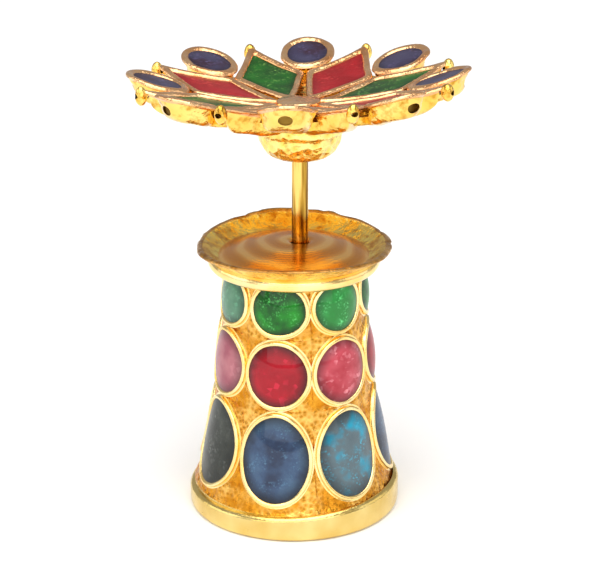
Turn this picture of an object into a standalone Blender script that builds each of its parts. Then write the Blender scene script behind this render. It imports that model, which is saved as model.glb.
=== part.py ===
"""Meenakari ear stud in metres, +Z up, standing on the foot of its drum.

An enamelled flower is soldered to a round post. The post is pushed into an enamelled drum, which is the
back of the stud: the ear lobe sits between the drum's lip and the boss behind the flower. The origin is
the middle of the drum's foot, and the side that shows best faces -Y.
"""

import math

import bmesh
import bpy
from mathutils import Matrix, Vector

MM = 0.001

# Drum, from its foot to its lip
DRUM_HEIGHT = 18.75 * MM
FOOT_RING_RADIUS = 7.18 * MM
FOOT_RING_HEIGHT = 1.75 * MM
FOOT_RING_ROUND = 0.3 * MM
LIP_RADIUS = 6.58 * MM
LIP_WIDTH = 0.42 * MM
LIP_THICKNESS = 0.22 * MM
LIP_FLARE_HEIGHT = 0.6 * MM
COLLAR_RADIUS = 5.75 * MM
COLLAR_HEIGHT = 0.9 * MM
COLLAR_TUCK = 0.4 * MM
BODY_TOP_RADIUS = 4.4 * MM
BODY_SPREAD = 1.55 * MM
FOOT_FLARE = 0.9 * MM
FLARE_POWER = 6
WALL = 0.9 * MM

# Dished top of the drum, and the sleeve under it that grips the post
DISH_RADIUS = 5.0 * MM
DISH_DEPTH = 0.9 * MM
DISH_RISE = 0.95 * MM
DISH_THICKNESS = 0.5 * MM
SLEEVE_WALL = 0.45 * MM
SLEEVE_FLOOR = 0.5 * MM
COUNTERSINK_WIDTH = 0.35 * MM
COUNTERSINK_DEPTH = 0.25 * MM

# Cap that closes the drum from below
CAP_THICKNESS = 0.6 * MM
CAP_LEDGE = 0.5 * MM

# Enamel cells on the drum
COLUMNS = 7
FIRST_COLUMN_ANGLE = math.radians(-12.5)
BEZEL_WIDTH = 0.3 * MM
BEZEL_HEIGHT = 0.22 * MM
CELL_GAP = 0.04 * MM
ROW_GAP = 0.2 * MM
CELL_DEPTH = 0.45 * MM
CELL_EDGE_DROP = 0.1 * MM
CELL_DOME = 0.2 * MM
# Each row from the top: enamel, share of the wall's free height, share of the free width
ROWS = (
    ("green", 0.24, 0.98),
    ("red", 0.302, 1.0),
    ("blue", 0.418, 0.96),
)

# Post
POST_OFFSET = 0.4 * MM
POST_RADIUS = 0.55 * MM
POST_GRIP = 6.0 * MM
POST_CLEARANCE = 0.06 * MM
POST_END_GAP = 0.1 * MM
POST_POINT = 0.3 * MM
LOBE_GAP = 5.9 * MM

# Boss behind the flower, with a plain ring at its top
BOSS_RADIUS = 2.8 * MM
BOSS_FACE_RADIUS = 1.7 * MM
BOSS_HEIGHT = 2.7 * MM
BOSS_RING_RADIUS = 3.15 * MM
BOSS_RING_HEIGHT = 0.95 * MM
BOSS_HOLES = 8
BOSS_HOLE_RADIUS = 0.24 * MM

# Flower: a shallow cup of petals, measured from the middle of the boss's flat face
FLOWER_TILT = math.radians(3.6)
FLOWER_LEAN = math.radians(1.5)
FLOWER_TURN = math.radians(4.1)
FACE_HEIGHT = 3.6 * MM
CUP_RADIUS = 30.0 * MM
PETAL_PAIRS = 8
KITE_REACH = 10.7 * MM
KITE_START_RADIUS = 1.1 * MM
KITE_CORNER_RADIUS = 6.15 * MM
KITE_GAP = 0.08 * MM
KITE_WALL = 0.48 * MM
OVAL_STANDOFF = 0.4 * MM
OVAL_LENGTH = 4.2 * MM
OVAL_SIDE_LAP = 0.06 * MM
OVAL_WALL = 0.55 * MM
OVAL_RISE = 0.14 * MM
COLLET_HEIGHT = 1.45 * MM
COLLET_TAPER = 0.85
POCKET_DEPTH = 0.6 * MM
KITE_RECESS = 0.2 * MM
OVAL_RECESS = 0.12 * MM
PETAL_DOME = 0.06 * MM
BACK_PLATE_MARGIN = 0.8 * MM
BACK_PLATE_DROP = 0.7 * MM
BACK_PLATE_THICKNESS = 0.5 * MM
HUB_RADIUS = 1.45 * MM
HUB_RISE = 0.2 * MM
KNOB_RADIUS = 0.42 * MM
KNOB_DEPTH = 1.25 * MM
KNOB_RISE = 0.12 * MM
# A knob's belts, from its foot up: share of its radius, share of its depth below the top
KNOB_BELTS = ((0.5, 0.95), (0.85, 0.8), (1.0, 0.5), (0.9, 0.2), (0.6, 0.05))
OVAL_VENT_RADIUS = 0.3 * MM
KITE_VENT_RADIUS = 0.2 * MM
VENT_DEPTH = 0.7 * MM
KITE_VENT_DROP = 0.6 * MM

# Clearance that every enamel piece, and the cap, keeps in its seat
SEAT_GAP = 0.05 * MM

# Facets
OVAL_SIDES = 16
POST_SIDES = 16
KITE_EDGE_STEPS = 3
KNOB_SIDES = 10
KNOB_TURN = math.radians(15)
VENT_SIDES = 8
VENT_TURN = math.radians(10)
DISH_STEPS = 4
WALL_STEPS = 5
WELD = 1e-7

GOLD = ((0.83, 0.55, 0.16), 0.2, 1.0)
ENAMELS = {
    "green": ((0.02, 0.22, 0.05), 0.12, 0.0),
    "red": ((0.42, 0.01, 0.03), 0.12, 0.0),
    "blue": ((0.02, 0.05, 0.14), 0.12, 0.0),
}


class Skin:
    """Faces of one closed piece, in which points that coincide share one index."""

    def __init__(self):
        self.points = []
        self.faces = []
        self.index = {}

    def corner(self, point):
        key = tuple(round(c / WELD) for c in point)
        if key not in self.index:
            self.index[key] = len(self.points)
            self.points.append(tuple(point))
        return self.index[key]

    def face(self, points):
        corners = [self.corner(p) for p in points]
        if len(set(corners)) > 2:
            self.faces.append(corners)

    def bridge(self, first, second):
        """Quads between two rings of as many points."""
        for i, point in enumerate(first):
            j = (i + 1) % len(first)
            self.face([point, first[j], second[j], second[i]])

    def fan(self, ring, tip):
        for i, point in enumerate(ring):
            self.face([point, ring[(i + 1) % len(ring)], tip])

    def loft(self, rings, start, end):
        """A closed piece through its rings, with each end fanned to a point."""
        self.fan(rings[0], start)
        for first, second in zip(rings, rings[1:]):
            self.bridge(first, second)
        self.fan(rings[-1], end)
        return self


def clear_scene():
    for obj in list(bpy.data.objects):
        bpy.data.objects.remove(obj, do_unlink=True)


def finish_material(name, look):
    colour, roughness, metallic = look
    material = bpy.data.materials.new(name)
    material.use_nodes = True
    shader = material.node_tree.nodes["Principled BSDF"]
    shader.inputs["Base Color"].default_value = (*colour, 1.0)
    shader.inputs["Roughness"].default_value = roughness
    shader.inputs["Metallic"].default_value = metallic
    return material


def add_object(name, skin, material, parent=None, collection=None):
    """One object from a skin, its faces pointing out and its round stretches shaded smooth."""
    mesh = bpy.data.meshes.new(name)
    mesh.from_pydata(skin.points, [], skin.faces)
    work = bmesh.new()
    work.from_mesh(mesh)
    bmesh.ops.recalc_face_normals(work, faces=work.faces)
    work.to_mesh(mesh)
    work.free()
    mesh.materials.append(material)
    mesh.shade_smooth()
    mesh.set_sharp_from_angle(angle=math.radians(35))
    obj = bpy.data.objects.new(name, mesh)
    (collection or bpy.context.scene.collection).objects.link(obj)
    obj.parent = parent
    return obj


def ring_points(radius, height, sides, start=0.0):
    """A level ring about the Z axis. Angle 0 faces -Y, and angles grow towards +X."""
    turns = [start + 2 * math.pi * i / sides for i in range(sides)]
    return [Vector((radius * math.sin(a), -radius * math.cos(a), height)) for a in turns]


# Drum


def body_top():
    return DRUM_HEIGHT - LIP_THICKNESS - LIP_FLARE_HEIGHT - COLLAR_HEIGHT + COLLAR_TUCK


def wall_radius(height):
    """Outside of the drum's wall: a straight taper, with a flare near the foot."""
    down = (body_top() - height) / (body_top() - FOOT_RING_HEIGHT)
    return BODY_TOP_RADIUS + BODY_SPREAD * down + FOOT_FLARE * max(down, 0.0) ** FLARE_POWER


def column_angle(column):
    return FIRST_COLUMN_ANGLE + 2 * math.pi * column / COLUMNS


def drum_sides():
    return COLUMNS * OVAL_SIDES // 4


def drum_ring(radius, height, offset=0.0):
    """A ring of the drum, whose points meet the edges of the cells, moved along X by an offset."""
    ring = ring_points(radius, height, drum_sides(), FIRST_COLUMN_ANGLE + math.pi / COLUMNS)
    return [point + Vector((offset, 0, 0)) for point in ring]


def cell_rows():
    """Each row's enamel, middle height, half height, half angle, and the heights that bound it."""
    top = body_top() - CELL_GAP / 2
    bezels = 2 * BEZEL_WIDTH * len(ROWS) + ROW_GAP * (len(ROWS) - 1)
    free = top - CELL_GAP / 2 - FOOT_RING_HEIGHT - bezels
    rows = []
    upper = body_top()
    for place, (enamel, height_share, width_share) in enumerate(ROWS):
        half_height = free * height_share / 2
        middle = top - BEZEL_WIDTH - half_height
        bottom = middle - half_height - BEZEL_WIDTH
        lower = FOOT_RING_HEIGHT if place == len(ROWS) - 1 else bottom - ROW_GAP / 2
        radius = wall_radius(middle)
        free_width = 2 * math.pi * radius / COLUMNS - 2 * BEZEL_WIDTH - CELL_GAP
        rows.append((enamel, middle, half_height, width_share * free_width / 2, radius, lower, upper))
        top = bottom - ROW_GAP
        upper = lower
    return rows


def oval_turns():
    """Angles of an oval's points, the first towards its upper right corner."""
    return [math.pi / 4 + 2 * math.pi * i / OVAL_SIDES for i in range(OVAL_SIDES)]


def cell_ring(column, row, grow, proud, share=1.0):
    """An oval on the wall, grown past the enamel's own outline and standing proud of the wall."""
    _, middle, half_height, half_width, radius, _, _ = row
    ring = []
    for turn in oval_turns():
        angle = column_angle(column) + share * (half_width + grow) * math.cos(turn) / radius
        height = middle + share * (half_height + grow) * math.sin(turn)
        reach = wall_radius(height) + proud
        ring.append(Vector((reach * math.sin(angle), -reach * math.cos(angle), height)))
    return ring


def cell_centre(column, row, proud):
    middle = row[1]
    reach = wall_radius(middle) + proud
    angle = column_angle(column)
    return Vector((reach * math.sin(angle), -reach * math.cos(angle), middle))


def cell_border(column, row):
    """The four-sided patch of wall round a cell, with as many points as the oval."""
    lower, upper = row[5], row[6]
    side = OVAL_SIDES // 4
    half = math.pi / COLUMNS
    corners = ((1, 1), (-1, 1), (-1, -1), (1, -1))
    border = []
    for (x0, y0), (x1, y1) in zip(corners, corners[1:] + corners[:1]):
        for step in range(side):
            along = step / side
            across = x0 + (x1 - x0) * along
            up = (y0 + (y1 - y0) * along + 1) / 2
            angle = column_angle(column) + half * across
            height = lower + (upper - lower) * up
            reach = wall_radius(height)
            border.append(Vector((reach * math.sin(angle), -reach * math.cos(angle), height)))
    return border


def add_cell(skin, column, row):
    """A bezel and its pocket, drawn into the drum's wall."""
    rings = [
        cell_border(column, row),
        cell_ring(column, row, BEZEL_WIDTH, 0.0),
        cell_ring(column, row, BEZEL_WIDTH, BEZEL_HEIGHT),
        cell_ring(column, row, 0.0, BEZEL_HEIGHT),
        cell_ring(column, row, 0.0, -CELL_DEPTH),
    ]
    for first, second in zip(rings, rings[1:]):
        skin.bridge(first, second)
    skin.fan(rings[-1], cell_centre(column, row, -CELL_DEPTH))


def cell_enamel(column, row):
    """The enamel that fills one pocket, with a low dome."""
    back = SEAT_GAP - CELL_DEPTH
    edge = BEZEL_HEIGHT - CELL_EDGE_DROP
    rings = [
        cell_ring(column, row, -SEAT_GAP, back),
        cell_ring(column, row, -SEAT_GAP, edge),
        cell_ring(column, row, -SEAT_GAP, edge + 0.75 * CELL_DOME, 0.5),
    ]
    return Skin().loft(rings, cell_centre(column, row, back), cell_centre(column, row, edge + CELL_DOME))


def bore_radius():
    return POST_RADIUS + POST_CLEARANCE


def dish_height(radius):
    """Top of the dished plate: it rises towards the post."""
    share = 1 - (radius / DISH_RADIUS) ** 2
    return DRUM_HEIGHT - DISH_DEPTH + DISH_RISE * share


def bore_floor():
    return DRUM_HEIGHT - POST_GRIP - POST_END_GAP


def sleeve_radius():
    return bore_radius() + SLEEVE_WALL


def upper_profile():
    """The drum from the floor of its bore, over the dish and the lip, to the top of the wall.

    Each place is a radius, a height and the share of the post's offset that the ring takes.
    """
    sink = bore_radius() + COUNTERSINK_WIDTH
    profile = [
        (bore_radius(), bore_floor(), 1),
        (bore_radius(), dish_height(sink) - COUNTERSINK_DEPTH, 1),
        (sink, dish_height(sink), 1),
    ]
    for step in range(1, DISH_STEPS + 1):
        share = step / DISH_STEPS
        radius = sink + (DISH_RADIUS - sink) * share
        profile.append((radius, dish_height(radius), 1 - share))
    # Corners of the lip are bevelled, then its underside comes in to the round collar below it.
    bevel = LIP_WIDTH / 3
    flare_foot = DRUM_HEIGHT - LIP_THICKNESS - LIP_FLARE_HEIGHT
    profile += [
        (LIP_RADIUS - LIP_WIDTH, DRUM_HEIGHT - bevel / 2, 0),
        (LIP_RADIUS - LIP_WIDTH + bevel, DRUM_HEIGHT, 0),
        (LIP_RADIUS - bevel, DRUM_HEIGHT, 0),
        (LIP_RADIUS, DRUM_HEIGHT - bevel, 0),
        (LIP_RADIUS, DRUM_HEIGHT - bevel - LIP_THICKNESS, 0),
        ((LIP_RADIUS + COLLAR_RADIUS) / 2, flare_foot + 0.45 * LIP_FLARE_HEIGHT, 0),
        (COLLAR_RADIUS - 0.06 * COLLAR_HEIGHT, flare_foot, 0),
        (COLLAR_RADIUS, flare_foot - 0.35 * COLLAR_HEIGHT, 0),
        (COLLAR_RADIUS - 0.15 * COLLAR_HEIGHT, flare_foot - 0.75 * COLLAR_HEIGHT, 0),
        (COLLAR_RADIUS - 0.55 * COLLAR_HEIGHT, flare_foot - COLLAR_HEIGHT, 0),
        (wall_radius(body_top()), body_top(), 0),
    ]
    return profile


def cap_seat_radius():
    return wall_radius(FOOT_RING_HEIGHT) - WALL + CAP_LEDGE


def lower_profile():
    """The drum from the foot of its wall, round the foot ring and up its inside to the sleeve's end."""
    edge = FOOT_RING_ROUND
    profile = [
        (wall_radius(FOOT_RING_HEIGHT), FOOT_RING_HEIGHT, 0),
        (FOOT_RING_RADIUS - edge, FOOT_RING_HEIGHT, 0),
        (FOOT_RING_RADIUS, FOOT_RING_HEIGHT - edge, 0),
        (FOOT_RING_RADIUS, 1.5 * edge, 0),
        (FOOT_RING_RADIUS - 0.4 * edge, 0.5 * edge, 0),
        (FOOT_RING_RADIUS - edge, 0.0, 0),
        (cap_seat_radius(), 0.0, 0),
        (cap_seat_radius(), CAP_THICKNESS + SEAT_GAP, 0),
        (cap_seat_radius() - CAP_LEDGE, CAP_THICKNESS + SEAT_GAP, 0),
    ]
    under_dish = DRUM_HEIGHT - DISH_DEPTH - DISH_THICKNESS
    for step in range(WALL_STEPS + 1):
        height = FOOT_RING_HEIGHT + (under_dish - FOOT_RING_HEIGHT) * step / WALL_STEPS
        profile.append((wall_radius(min(height, body_top())) - WALL, height, 0))
    profile += [
        (sleeve_radius(), under_dish + 0.8 * DISH_RISE, 1),
        (sleeve_radius(), bore_floor() - SLEEVE_FLOOR, 1),
    ]
    return profile


def make_drum(gold):
    """The drum: lip, dish, sleeve, wall with its bezels, and foot ring, soldered into one piece."""
    skin = Skin()
    upper = [drum_ring(radius, height, share * POST_OFFSET) for radius, height, share in upper_profile()]
    lower = [drum_ring(radius, height, share * POST_OFFSET) for radius, height, share in lower_profile()]
    skin.fan(upper[0], Vector((POST_OFFSET, 0, bore_floor())))
    for first, second in zip(upper, upper[1:]):
        skin.bridge(first, second)
    for row in cell_rows():
        for column in range(COLUMNS):
            add_cell(skin, column, row)
    for first, second in zip(lower, lower[1:]):
        skin.bridge(first, second)
    skin.fan(lower[-1], Vector((POST_OFFSET, 0, bore_floor() - SLEEVE_FLOOR)))
    return add_object("drum", skin, gold)


def make_drum_enamels(materials):
    for row in cell_rows():
        for column in range(COLUMNS):
            name = f"drum_enamel_{row[0]}_{column + 1}"
            add_object(name, cell_enamel(column, row), materials[row[0]])


def make_base_cap(gold):
    """A flat cap, pressed into the foot ring after the enamel is fired."""
    radius = cap_seat_radius() - SEAT_GAP
    rings = [drum_ring(radius, 0.0), drum_ring(radius, CAP_THICKNESS)]
    add_object("base_cap", Skin().loft(rings, Vector((0, 0, 0)), Vector((0, 0, CAP_THICKNESS))), gold)


# Flower


def cup_point(x, y, rise):
    """A point at a height above the cupped face, in the flower's own frame."""
    return Vector((x, y, FACE_HEIGHT + (x * x + y * y) / (2 * CUP_RADIUS) + rise))


def kite_half_width():
    return KITE_CORNER_RADIUS * math.tan(math.pi / PETAL_PAIRS) - KITE_GAP / 2


def oval_start():
    return KITE_CORNER_RADIUS / math.cos(math.pi / PETAL_PAIRS) + OVAL_STANDOFF


def oval_middle():
    return oval_start() + OVAL_LENGTH / 2


def oval_half_width():
    """Half an oval's width, where its box just laps the outer edges of the kites on both sides."""
    half_step = math.pi / PETAL_PAIRS
    corner = Vector((KITE_CORNER_RADIUS / math.cos(half_step), 0))
    tip = KITE_REACH * Vector((math.cos(half_step), math.sin(half_step)))
    edge = (tip - corner).normalized()
    reach = (oval_middle() - corner.x) * edge.y + OVAL_SIDE_LAP
    return math.sqrt(reach ** 2 - (OVAL_LENGTH / 2 * edge.y) ** 2) / edge.x


def kite_outline():
    """The kite's metal outline, pointing along +X from the flower's middle."""
    corners = [
        Vector((KITE_REACH, 0)),
        Vector((KITE_CORNER_RADIUS, kite_half_width())),
        Vector((KITE_START_RADIUS, 0)),
        Vector((KITE_CORNER_RADIUS, -kite_half_width())),
    ]
    return corners


def inset(corners, distance):
    """A convex outline with every edge moved in by a distance."""
    moved = []
    count = len(corners)
    for i, corner in enumerate(corners):
        before = (corner - corners[i - 1]).normalized()
        after = (corners[(i + 1) % count] - corner).normalized()
        inward = Vector((-before.y, before.x)) + Vector((-after.y, after.x))
        inward.normalize()
        moved.append(corner + inward * distance / inward.dot(Vector((-after.y, after.x))))
    return moved


def divided(corners, steps):
    """The outline's corners with points between them, evenly along each edge."""
    count = len(corners)
    return [
        corner.lerp(corners[(i + 1) % count], step / steps)
        for i, corner in enumerate(corners)
        for step in range(steps)
    ]


def oval_outline(shrink=0.0):
    half_length = OVAL_LENGTH / 2 - shrink
    half_width = oval_half_width() - shrink
    return [
        Vector((oval_middle() + half_length * math.cos(turn), half_width * math.sin(turn)))
        for turn in oval_turns()
    ]


def petal_outline(kind, shrink=0.0):
    if kind == "oval":
        return oval_outline(shrink)
    return divided(inset(kite_outline(), shrink), KITE_EDGE_STEPS)


def petal_wall(kind):
    return OVAL_WALL if kind == "oval" else KITE_WALL


def petal_reach(kind):
    return oval_start() + OVAL_LENGTH if kind == "oval" else KITE_REACH


def petal_angle(kind, place):
    """Direction of a petal seen from above. Kites lie half a step from the ovals."""
    half_step = 0.0 if kind == "oval" else math.pi / PETAL_PAIRS
    return math.pi / 2 - FLOWER_TURN + half_step + 2 * math.pi * place / PETAL_PAIRS


def petal_ring(kind, place, shrink, rise, taper=1.0):
    """A petal's outline on the cup, shrunk about its middle by a taper. Ovals stand a little proud."""
    rise += OVAL_RISE if kind == "oval" else 0.0
    middle = Vector((oval_middle() if kind == "oval" else KITE_CORNER_RADIUS, 0))
    angle = petal_angle(kind, place)
    ring = []
    for flat in petal_outline(kind, shrink):
        flat = middle + (flat - middle) * taper
        x = flat.x * math.cos(angle) - flat.y * math.sin(angle)
        y = flat.x * math.sin(angle) + flat.y * math.cos(angle)
        ring.append(cup_point(x, y, rise))
    return ring


def petal_centre(kind, place, rise):
    radius = oval_middle() if kind == "oval" else KITE_CORNER_RADIUS
    rise += OVAL_RISE if kind == "oval" else 0.0
    angle = petal_angle(kind, place)
    return cup_point(radius * math.cos(angle), radius * math.sin(angle), rise)


def collet(kind, place):
    """The metal box of one petal, open at its top."""
    rings = [
        petal_ring(kind, place, 0.0, -COLLET_HEIGHT, COLLET_TAPER),
        petal_ring(kind, place, 0.0, 0.0),
        petal_ring(kind, place, petal_wall(kind), 0.0),
        petal_ring(kind, place, petal_wall(kind), -POCKET_DEPTH),
    ]
    start = petal_centre(kind, place, -COLLET_HEIGHT)
    return Skin().loft(rings, start, petal_centre(kind, place, -POCKET_DEPTH))


def petal_enamel(kind, place):
    shrink = petal_wall(kind) + SEAT_GAP
    recess = OVAL_RECESS if kind == "oval" else KITE_RECESS
    back = SEAT_GAP - POCKET_DEPTH
    rings = [
        petal_ring(kind, place, shrink, back),
        petal_ring(kind, place, shrink, -recess),
        petal_ring(kind, place, shrink, 0.7 * PETAL_DOME - recess, 0.5),
    ]
    start = petal_centre(kind, place, back)
    return Skin().loft(rings, start, petal_centre(kind, place, PETAL_DOME - recess))


def back_plate():
    """A thin cupped plate that carries the petals' boxes."""
    top, bottom = -BACK_PLATE_DROP, -BACK_PLATE_DROP - BACK_PLATE_THICKNESS
    edge = oval_start() + BACK_PLATE_MARGIN
    sides = 4 * PETAL_PAIRS
    shares = (0.4, 0.7, 1.0)
    flat = [ring_points(edge * share, 0.0, sides) for share in shares]
    rings = [[cup_point(p.x, p.y, bottom) for p in ring] for ring in flat]
    rings += [[cup_point(p.x, p.y, top) for p in ring] for ring in reversed(flat)]
    return Skin().loft(rings, cup_point(0, 0, bottom), cup_point(0, 0, top))


def hub():
    """The round button that covers the kites' inner points."""
    sides = 2 * PETAL_PAIRS
    low = -BACK_PLATE_DROP - BACK_PLATE_THICKNESS / 2
    steps = ((HUB_RADIUS, low), (HUB_RADIUS, 0.4 * HUB_RISE), (0.6 * HUB_RADIUS, HUB_RISE))
    rings = [ring_points(radius, FACE_HEIGHT + rise, sides, math.pi / sides) for radius, rise in steps]
    return Skin().loft(rings, cup_point(0, 0, low), cup_point(0, 0, 1.2 * HUB_RISE))


def knob_reach():
    """Distance from the flower's middle to a knob's own middle."""
    return KITE_REACH - KNOB_RADIUS / 2


def knob(place):
    """The rounded knob of metal at a kite's outer point. Its belts follow the cup."""
    angle = petal_angle("kite", place)
    middle = knob_reach() * Vector((math.cos(angle), math.sin(angle)))
    rings = []
    for radius, height in KNOB_BELTS:
        ring = ring_points(KNOB_RADIUS * radius, 0.0, KNOB_SIDES, angle + KNOB_TURN)
        rise = KNOB_RISE - KNOB_DEPTH * height
        rings.append([cup_point(middle.x + point.x, middle.y + point.y, rise) for point in ring])
    foot = cup_point(middle.x, middle.y, KNOB_RISE - KNOB_DEPTH)
    return Skin().loft(rings, foot, cup_point(middle.x, middle.y, KNOB_RISE))


def rod(start, end, radius, sides):
    """A straight bar with round section between two points."""
    turn = (end - start).to_track_quat("Z", "Y").to_matrix()
    ring = [turn @ point for point in ring_points(radius, 0.0, sides, VENT_TURN)]
    rings = [[start + p for p in ring], [end + p for p in ring]]
    return Skin().loft(rings, start, end)


def oval_vent_drop():
    """Depth of an oval's hole below the cup: halfway between its pocket's floor and its box's underside."""
    return (POCKET_DEPTH + COLLET_HEIGHT) / 2 - OVAL_RISE


def vent(kind, place):
    """A small hole in the outer end of a petal's box, running along the cup."""
    angle = petal_angle(kind, place)
    outward = Vector((math.cos(angle), math.sin(angle), 0))
    if kind == "kite":
        radius, drop, start = KITE_VENT_RADIUS, KITE_VENT_DROP, knob_reach()
    else:
        radius, drop, start = OVAL_VENT_RADIUS, oval_vent_drop(), petal_reach(kind) - VENT_DEPTH
    end = petal_reach(kind) + VENT_DEPTH
    inner, outer = (cup_point(reach * outward.x, reach * outward.y, -drop) for reach in (start, end))
    return rod(inner, outer, radius, VENT_SIDES)


def in_post_frame(skin, tilt):
    """The piece moved from the post's upright frame into the tilted flower's."""
    skin.points = [tuple(tilt.inverted() @ Vector(point)) for point in skin.points]
    return skin


def boss():
    """The turned boss that seats on the front of the lobe. Its flat face is square to the post."""
    sides = 2 * POST_SIDES
    pitted_height = BOSS_HEIGHT - BOSS_RING_HEIGHT
    steps = (
        (BOSS_FACE_RADIUS, 0.0),
        (BOSS_FACE_RADIUS + 0.6 * (BOSS_RADIUS - BOSS_FACE_RADIUS), 0.35 * pitted_height),
        (BOSS_RADIUS, 0.85 * pitted_height),
        (BOSS_RADIUS, pitted_height),
        (BOSS_RING_RADIUS, pitted_height),
        (BOSS_RING_RADIUS, BOSS_HEIGHT),
    )
    rings = [ring_points(radius, height, sides) for radius, height in steps]
    return Skin().loft(rings, Vector((0, 0, 0)), Vector((0, 0, BOSS_HEIGHT)))


def post():
    """The post from inside the boss down to its pointed end, near the floor of the drum's bore."""
    end = -(LOBE_GAP + POST_GRIP)
    steps = (
        (0.6 * POST_RADIUS, end),
        (POST_RADIUS, end + POST_POINT),
        (POST_RADIUS, BOSS_HEIGHT / 2),
    )
    rings = [ring_points(radius, height, POST_SIDES) for radius, height in steps]
    return Skin().loft(rings, Vector((0, 0, end)), Vector((0, 0, BOSS_HEIGHT / 2)))


def boss_hole(place):
    angle = 2 * math.pi * (place + 0.5) / BOSS_HOLES
    outward = Vector((math.sin(angle), -math.cos(angle), 0))
    height = Vector((0, 0, 0.75 * (BOSS_HEIGHT - BOSS_RING_HEIGHT)))
    inner = outward * (BOSS_RADIUS - VENT_DEPTH / 2)
    outer = outward * (BOSS_RADIUS + VENT_DEPTH / 2)
    return rod(inner + height, outer + height, BOSS_HOLE_RADIUS, 6)


def helper_collection(name):
    """A collection of solids that a Boolean reads. It is left out of renders."""
    collection = bpy.data.collections.new(name)
    bpy.context.scene.collection.children.link(collection)
    collection.hide_render = True
    return collection


def join_or_cut(obj, collection, operation):
    modifier = obj.modifiers.new(operation.lower(), "BOOLEAN")
    modifier.operation = operation
    modifier.operand_type = "COLLECTION"
    modifier.collection = collection
    modifier.solver = "EXACT"


def make_flower_frame(gold, parent, tilt):
    """Boxes, back plate, boss and post, soldered into one piece."""
    joined = helper_collection("flower_joined")
    cut = helper_collection("flower_cut")
    for kind in ("kite", "oval"):
        for place in range(PETAL_PAIRS):
            add_helper(f"collet_{kind}_{place}", collet(kind, place), gold, parent, joined)
            add_helper(f"vent_{kind}_{place}", vent(kind, place), gold, parent, cut)
    for place in range(PETAL_PAIRS):
        add_helper(f"knob_{place}", knob(place), gold, parent, joined)
    add_helper("hub", hub(), gold, parent, joined)
    add_helper("boss", in_post_frame(boss(), tilt), gold, parent, joined)
    add_helper("post", in_post_frame(post(), tilt), gold, parent, joined)
    for place in range(BOSS_HOLES):
        add_helper(f"boss_hole_{place}", in_post_frame(boss_hole(place), tilt), gold, parent, cut)
    frame = add_object("flower_frame", back_plate(), gold, parent)
    join_or_cut(frame, joined, "UNION")
    join_or_cut(frame, cut, "DIFFERENCE")
    return frame


def add_helper(name, skin, material, parent, collection):
    helper = add_object(name, skin, material, parent, collection)
    helper.hide_render = True
    helper.display_type = "WIRE"


def make_petal_enamels(materials, parent):
    for place in range(PETAL_PAIRS):
        colour = "red" if place % 2 else "green"
        kite, oval = petal_enamel("kite", place), petal_enamel("oval", place)
        add_object(f"kite_enamel_{colour}_{place + 1}", kite, materials[colour], parent)
        add_object(f"oval_enamel_blue_{place + 1}", oval, materials["blue"], parent)


def make_empty(name, parent, matrix):
    empty = bpy.data.objects.new(name, None)
    bpy.context.scene.collection.objects.link(empty)
    empty.parent = parent
    empty.matrix_local = matrix
    return empty


def main():
    clear_scene()
    gold = finish_material("gold", GOLD)
    enamels = {name: finish_material(f"enamel_{name}", look) for name, look in ENAMELS.items()}
    make_drum(gold)
    make_drum_enamels(enamels)
    make_base_cap(gold)
    # The post slides along Z, so its empty stands on that axis, at the boss's flat face.
    slide = make_empty("post_axis", None, Matrix.Translation((POST_OFFSET, 0, DRUM_HEIGHT + LOBE_GAP)))
    tilt = Matrix.Rotation(-FLOWER_LEAN, 4, "Y") @ Matrix.Rotation(-FLOWER_TILT, 4, "X")
    flower = make_empty("flower_tilt", slide, tilt)
    make_flower_frame(gold, flower, tilt)
    make_petal_enamels(enamels, flower)
    bpy.context.view_layer.update()


main()
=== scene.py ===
"""Looks of the meenakari ear stud: gold with half-round bezels, glossy enamel, and a plain studio.

Lengths are in metres, built from millimetres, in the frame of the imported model. Each metal piece is a closed
mesh made of rings. Small waves in the outlines stand for hand work.
"""

import math
from collections import namedtuple

import bmesh
import bpy
from mathutils import Matrix, Vector, noise


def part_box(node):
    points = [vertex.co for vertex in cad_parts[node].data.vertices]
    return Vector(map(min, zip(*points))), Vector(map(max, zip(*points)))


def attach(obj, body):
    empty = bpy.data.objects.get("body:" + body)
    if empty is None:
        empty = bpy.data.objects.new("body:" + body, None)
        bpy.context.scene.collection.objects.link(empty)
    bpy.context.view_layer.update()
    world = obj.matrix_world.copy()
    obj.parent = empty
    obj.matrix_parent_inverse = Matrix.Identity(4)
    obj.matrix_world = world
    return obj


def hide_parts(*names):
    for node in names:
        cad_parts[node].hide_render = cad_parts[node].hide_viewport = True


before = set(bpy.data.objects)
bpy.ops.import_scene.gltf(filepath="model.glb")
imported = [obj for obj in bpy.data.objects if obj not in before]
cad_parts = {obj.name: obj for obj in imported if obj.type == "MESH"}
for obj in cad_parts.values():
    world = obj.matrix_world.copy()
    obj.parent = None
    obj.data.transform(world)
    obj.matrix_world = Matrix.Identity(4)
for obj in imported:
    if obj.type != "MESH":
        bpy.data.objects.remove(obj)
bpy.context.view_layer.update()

MM = 0.001
SAME_PLACE = 1e-8
BACK = "ear_back"
STUD = "ear_stud"

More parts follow.
